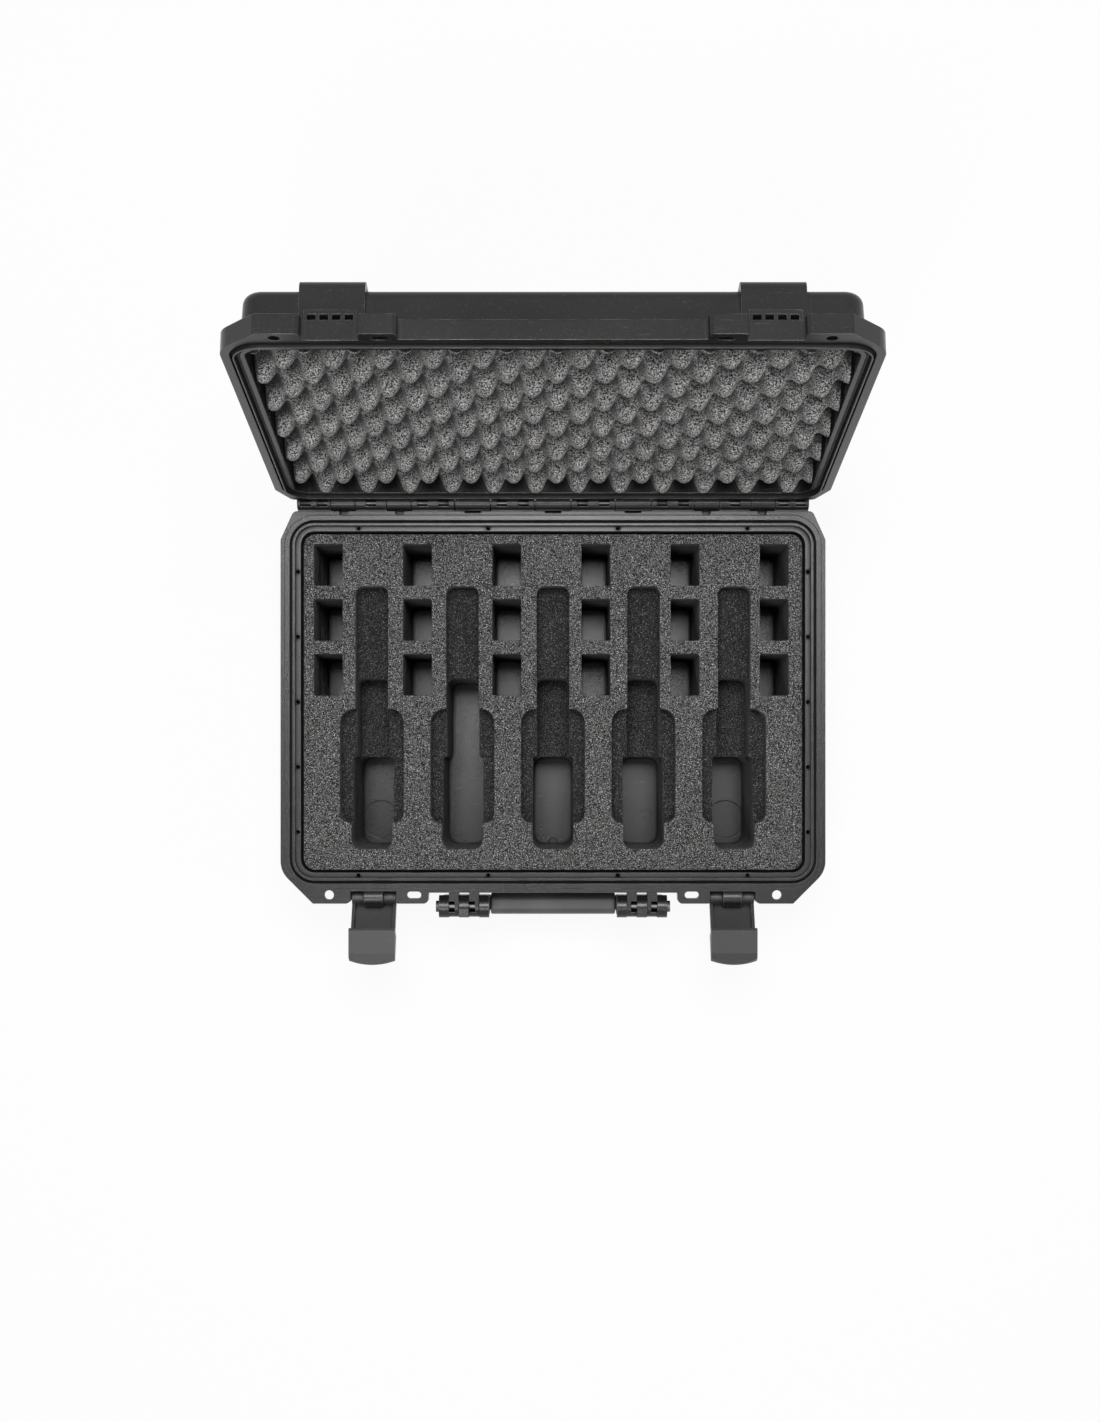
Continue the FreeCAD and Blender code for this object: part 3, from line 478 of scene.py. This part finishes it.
def softSheet(name, outline, holes, low, high, look, gridStep):
    # foam sheet with knife-cut pockets: slightly wavy walls and softened edges
    bm = bmesh.new()
    loops = [roundedLoop(outline, look["spacing"])]
    loops += [roundedLoop(hole, look["spacing"]) for hole in holes]
    lip = look["lip"]
    levels = [(low, lip), (low + lip * 0.3, lip * 0.3), (low + lip, 0.0)]
    wallSteps = max(2, round((high - low) / look["wallStep"]))
    for step in range(1, wallSteps):
        levels.append((low + lip + (high - low - 2 * lip) * step / wallSteps, 0.0))
    levels += [(high - lip, 0.0), (high - lip * 0.3, lip * 0.3), (high, lip)]
    bottomRings = []
    topRings = []
    for index, loop in enumerate(loops):
        if (signedArea(loop) > 0) != (index == 0):
            loop.reverse()
        sides = inwardSides(loop)
        rings = []
        for z, inset in levels:
            ring = []
            for point, side in zip(loop, sides):
                sway = ripple((*point, z * 3), look, index) if inset == 0.0 and index else 0.0
                spot = point + side * (inset + abs(sway))
                ring.append(bm.verts.new((*spot, z)))
            rings.append(ring)
        for lower, upper in zip(rings, rings[1:]):
            for i in range(len(loop)):
                j = (i + 1) % len(loop)
                bm.faces.new((lower[i], lower[j], upper[j], upper[i]))
        bottomRings.append(rings[0])
        topRings.append(rings[-1])
    capSheet(bm, topRings, high, look, gridStep)
    capSheet(bm, bottomRings, low, look, 0.0)
    return closedMesh(bm, name, look["sharpAngle"])


insert = {
    "spacing": 0.005, "lip": 0.0009, "wallStep": 0.014, "ripple": 0.0004, "rippleScale": 60.0,
    "wellColumns": 6, "wellRows": 3, "firstX": -0.192, "pitchX": 0.0762, "firstY": 0.1172, "pitchY": 0.0469,
    "wellHalf": (0.01215, 0.01765), "wellCorner": 0.0012,
    "bays": 5, "bayPitch": 0.0774, "bayHalf": 0.01375, "bayCorner": 0.006, "innerCorner": 0.0013,
    "bayBack": 0.0987, "stepBack": 0.0206, "endBack": -0.0467, "endFront": -0.1254, "endHalf": 0.01725,
    "endCorner": 0.008, "fingerHalf": 0.0271, "fingerBack": -0.0058, "fingerFront": -0.1032,
    "fingerCorner": 0.0115, "fingerFrontCorner": 0.0084, "stepCorner": 0.002, "throughBay": 1,
    "rimHalf": 0.215, "rimCorner": 0.012, "sharpAngle": 50,
}


def mirroredOutline(right, x):
    # closed outline from its right half, listed from back to front
    left = [(-px, py, radius) for px, py, radius in reversed(right)]
    return [(x + px, py, radius) for px, py, radius in right + left]


def wellHoles():
    look = insert
    halfX, halfY = look["wellHalf"]
    holes = []
    for column in range(look["wellColumns"]):
        for row in range(look["wellRows"]):
            x = look["firstX"] + column * look["pitchX"]
            y = look["firstY"] - row * look["pitchY"]
            holes.append(rectangle(x - halfX, x + halfX, y - halfY, y + halfY, look["wellCorner"]))
    return holes


def bayHoles(level):
    look = insert
    inner = look["innerCorner"]
    front = [(look["endHalf"], look["endFront"], look["endCorner"])]
    channel = [
        (look["bayHalf"], look["bayBack"], look["bayCorner"]),
        (look["bayHalf"], look["fingerBack"], inner),
        (look["fingerHalf"], look["fingerBack"], look["fingerCorner"]),
        (look["fingerHalf"], look["fingerFront"], look["fingerFrontCorner"]),
        (look["endHalf"], look["fingerFront"], inner),
    ]
    step = [
        (look["bayHalf"], look["stepBack"], look["bayCorner"]),
        (look["bayHalf"], look["endBack"], inner),
        (look["endHalf"], look["endBack"], look["stepCorner"]),
    ]
    end = [(look["endHalf"], look["endBack"], look["endCorner"])]
    holes = []
    for bay in range(look["bays"]):
        x = (bay - (look["bays"] - 1) / 2) * look["bayPitch"]
        if level == "top":
            right = channel + front
        elif level == "middle" or bay == look["throughBay"]:
            right = step + front
        else:
            right = end + front
        holes.append(mirroredOutline(right, x))
    return holes


sheets = (("top", charcoalFoam, 0.007), ("middle", middleFoamDarkAndShaded, 0.0), ("bottom", bottomFoamShaded, 0.0))
for level, material, gridStep in sheets:
    nodeName = "foam_" + level
    low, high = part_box(nodeName)
    corner = insert["rimCorner"] - (insert["rimHalf"] - high.x)
    outline = rectangle(low.x, high.x, low.y, high.y, corner)
    mesh = softSheet(nodeName + "_cut", outline, wellHoles() + bayHoles(level), low.z, high.z, insert, gridStep)
    piece = newPiece(level + "FoamSheet", mesh, material, "base")
    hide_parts(nodeName)
    print("foam sheet", level, len(mesh.polygons), "faces")


hinge = next(j for j in frame["joints"] if j["name"] == "lid_hinge")
hingePoint = Vector(hinge["pos_m"])
openAngle = math.radians(hinge["range_deg"][1])
lidAtRest = Matrix.Translation(hingePoint) @ Matrix.Rotation(-openAngle, 4, "X") @ Matrix.Translation(-hingePoint)

crateLook = {
    "halfWidth": 0.2131, "halfDepth": 0.1436, "corner": 0.0102, "cellX": 0.0176, "rows": 11, "shiftX": 0.0033,
    "low": 0.1244, "crest": 0.027, "back": 0.1664, "step": 0.0022, "round": 1.4, "lean": 0.4,
    "ripple": 0.0006, "rippleScale": 45.0, "sharpAngle": 60,
}


def crateHeight(look, x, y):
    # crests face the opening and join into slanting ridges; troughs are narrow pits between them
    cellY = 2 * look["halfDepth"] / look["rows"]
    across = math.pi * (x - look["shiftX"]) / look["cellX"]
    down = math.pi * (look["halfDepth"] - y) / cellY
    wave = look["lean"] * math.cos(across + down) + (1 - look["lean"]) * math.cos(across - down)
    trough = (0.5 + 0.5 * wave) ** look["round"]
    return look["low"] + look["crest"] * trough + abs(ripple((x, y, 0), look, 7.0))


def crateWidth(look, y):
    # half width of the rounded sheet at a given depth
    past = max(0.0, abs(y) - look["halfDepth"] + look["corner"])
    return look["halfWidth"] - look["corner"] + math.sqrt(max(0.0, look["corner"] ** 2 - past ** 2))


def eggCrate(look):
    # convoluted sheet: rounded crests on a staggered grid, closed by its sides and a flat back
    bm = bmesh.new()
    nx = round(2 * look["halfWidth"] / look["step"])
    ny = round(2 * look["halfDepth"] / look["step"])
    face = []
    for j in range(ny + 1):
        y = look["halfDepth"] * (2 * j / ny - 1)
        half = crateWidth(look, y)
        row = []
        for i in range(nx + 1):
            x = half * (2 * i / nx - 1)
            row.append(bm.verts.new((x, y, crateHeight(look, x, y))))
        face.append(row)
    for j in range(ny):
        for i in range(nx):
            bm.faces.new((face[j][i], face[j + 1][i], face[j + 1][i + 1], face[j][i + 1]))
    rim = face[0] + [row[-1] for row in face[1:]] + face[-1][-2::-1] + [row[0] for row in face[-2:0:-1]]
    back = [bm.verts.new((v.co.x, v.co.y, look["back"])) for v in rim]
    for i in range(len(rim)):
        j = (i + 1) % len(rim)
        bm.faces.new((rim[i], rim[j], back[j], back[i]))
    bm.faces.new(back)
    return closedMesh(bm, "lid_crate", look["sharpAngle"], lidAtRest)


lidFoam = newPiece("lidFoamSheet", eggCrate(crateLook), paleLitCrateFoam, "lid")
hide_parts("lid_foam")
print("lid foam", len(lidFoam.data.polygons), "faces")

sealBand = {
    "inner": 0.0038, "outer": 0.007, "low": 0.1278, "high": 0.1304, "halfWidth": 0.215, "halfDepth": 0.1455,
    "corner": 0.012, "spacing": 0.004, "dome": 0.45, "domeSteps": 8, "sharpAngle": 45,
}


def sealRing(look):
    # rubber cord with a domed lip, swept round the lid's groove
    middle = (look["inner"] + look["outer"]) / 2
    half = (look["outer"] - look["inner"]) / 2
    height = look["high"] - look["low"]
    dome = height * look["dome"]
    section = [(-half, height)]
    for step in range(look["domeSteps"] + 1):
        angle = math.pi * step / look["domeSteps"]
        section.append((-half * math.cos(angle), dome - dome * math.sin(angle)))
    section.append((half, height))
    grown = rectangle(
        -look["halfWidth"] - middle, look["halfWidth"] + middle,
        -look["halfDepth"] - middle, look["halfDepth"] + middle, look["corner"] + middle,
    )
    loop = roundedLoop(grown, look["spacing"])
    sides = inwardSides(loop)
    bm = bmesh.new()
    rings = []
    for point, side in zip(loop, sides):
        ring = []
        for across, up in section:
            spot = point - side * across
            ring.append(bm.verts.new((spot.x, spot.y, look["low"] + up)))
        rings.append(ring)
    skinRing(bm, rings)
    return closedMesh(bm, "lid_cord", look["sharpAngle"], lidAtRest)


lidSeal = newPiece("lidSealCord", sealRing(sealBand), sealRubber, "lid")
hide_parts("lid_seal")
print("seal", len(lidSeal.data.polygons), "faces")

screwRims = {
    "sideX": 0.2172, "alongSide": (-0.1108, -0.0554, 0.0, 0.0554, 0.1108),
    "endY": 0.1477, "alongEnd": (-0.1656, -0.0552, 0.0552, 0.1656),
    "hole": 0.00125, "outer": 0.0023, "slope": 0.0004, "low": 0.1226, "high": 0.1235, "parts": 20,
}


def screwRimMesh(look):
    # low raised rims round the panel screw holes, in one mesh
    centres = [(side * look["sideX"], y) for side in (-1, 1) for y in look["alongSide"]]
    centres += [(x, side * look["endY"]) for side in (-1, 1) for x in look["alongEnd"]]
    section = [
        (look["hole"], look["low"]), (look["hole"], look["high"]),
        (look["outer"] - look["slope"], look["high"]), (look["outer"], look["low"]),
    ]
    bm = bmesh.new()
    for x, y in centres:
        rings = []
        for part in range(look["parts"]):
            angle = 2 * math.pi * part / look["parts"]
            rings.append([bm.verts.new((x + r * math.cos(angle), y + r * math.sin(angle), z)) for r, z in section])
        skinRing(bm, rings)
    return closedMesh(bm, "screw_rims")


rims = newPiece("panelScrewRims", screwRimMesh(screwRims), latchPlastic, "base")
print("screw rims", len(rims.data.polygons), "faces")

studio = {
    "floorSize": 12.0, "floor": 0.82, "whiteShare": 0.92,
    "cameraHeight": 1.775, "cameraY": -0.0537, "focalPixels": 1939.0, "nadir": (553.0, 765.0),
    "picture": (1100, 1422), "sensor": 36.0, "farClip": 50.0, "world": 0.1, "backdrop": 0.965,
}
# place, point aimed at, width and depth, watts
studioLights = {
    "overhead": ((0.0, 0.55, 2.5), (0.0, 0.05, 0.1), (0.95, 0.75), 47.0),
    "front": ((-0.4, -1.1, 2.4), (0.0, 0.1, 0.2), (0.9, 0.7), 20.5),
    "right": ((2.0, -0.3, 1.8), (0.0, 0.0, 0.15), (0.8, 1.2), 9.0),
}


def makeFloor():
    half = studio["floorSize"] / 2
    mesh = bpy.data.meshes.new("floor")
    mesh.from_pydata([(-half, -half, 0), (half, -half, 0), (half, half, 0), (-half, half, 0)], [], [(0, 1, 2, 3)])
    floor = bpy.data.objects.new("floor", mesh)
    bpy.context.scene.collection.objects.link(floor)
    finish = Finish("paleFloor")
    matt = finish.add("ShaderNodeBsdfDiffuse", {}, {"Color": grey(studio["floor"])})
    white = finish.add("ShaderNodeEmission", {}, {"Color": grey(1.0), "Strength": 1.0})
    mixed = finish.add("ShaderNodeMixShader", {}, {0: finish.seen() * studio["whiteShare"], 1: matt, 2: white})
    finish.tree.links.new(mixed.socket, finish.tree.nodes["Material Output"].inputs["Surface"])
    mesh.materials.append(finish.material)


def makeLight(name, place, target, size, power):
    lamp = bpy.data.lights.new(name, "AREA")
    lamp.shape = "RECTANGLE"
    lamp.size, lamp.size_y = size
    lamp.energy = power
    light = bpy.data.objects.new(name, lamp)
    light.location = place
    light.rotation_euler = (Vector(target) - Vector(place)).to_track_quat("-Z", "Y").to_euler()
    bpy.context.scene.collection.objects.link(light)


def makeCamera():
    # straight down, shifted so that the point below the camera falls on nadir, in pixels of the picture
    width, height = studio["picture"]
    lens = bpy.data.cameras.new("camera")
    lens.sensor_fit = "VERTICAL"
    lens.sensor_height = studio["sensor"]
    lens.sensor_width = studio["sensor"]
    lens.lens = studio["sensor"] * studio["focalPixels"] / height
    lens.shift_x = (width / 2 - studio["nadir"][0]) / height
    lens.shift_y = (studio["nadir"][1] - height / 2) / height
    lens.clip_end = studio["farClip"]
    camera = bpy.data.objects.new("camera", lens)
    camera.location = (0.0, studio["cameraY"], studio["cameraHeight"])
    bpy.context.scene.collection.objects.link(camera)
    bpy.context.scene.camera = camera


def makeWorld():
    # dim as a light, pale where it is seen
    world = bpy.data.worlds.new("studio")
    finish = Finish("studio", world)
    back = finish.tree.nodes["Background"]
    back.inputs["Color"].default_value = grey(1.0)
    finish.feed(back.inputs["Strength"], studio["world"] + finish.seen() * (studio["backdrop"] - studio["world"]))
    bpy.context.scene.world = world


makeFloor()
for lightName, settings in studioLights.items():
    makeLight(lightName, *settings)
makeCamera()
makeWorld()
bpy.context.scene.view_settings.view_transform = "Standard"
print("studio set")
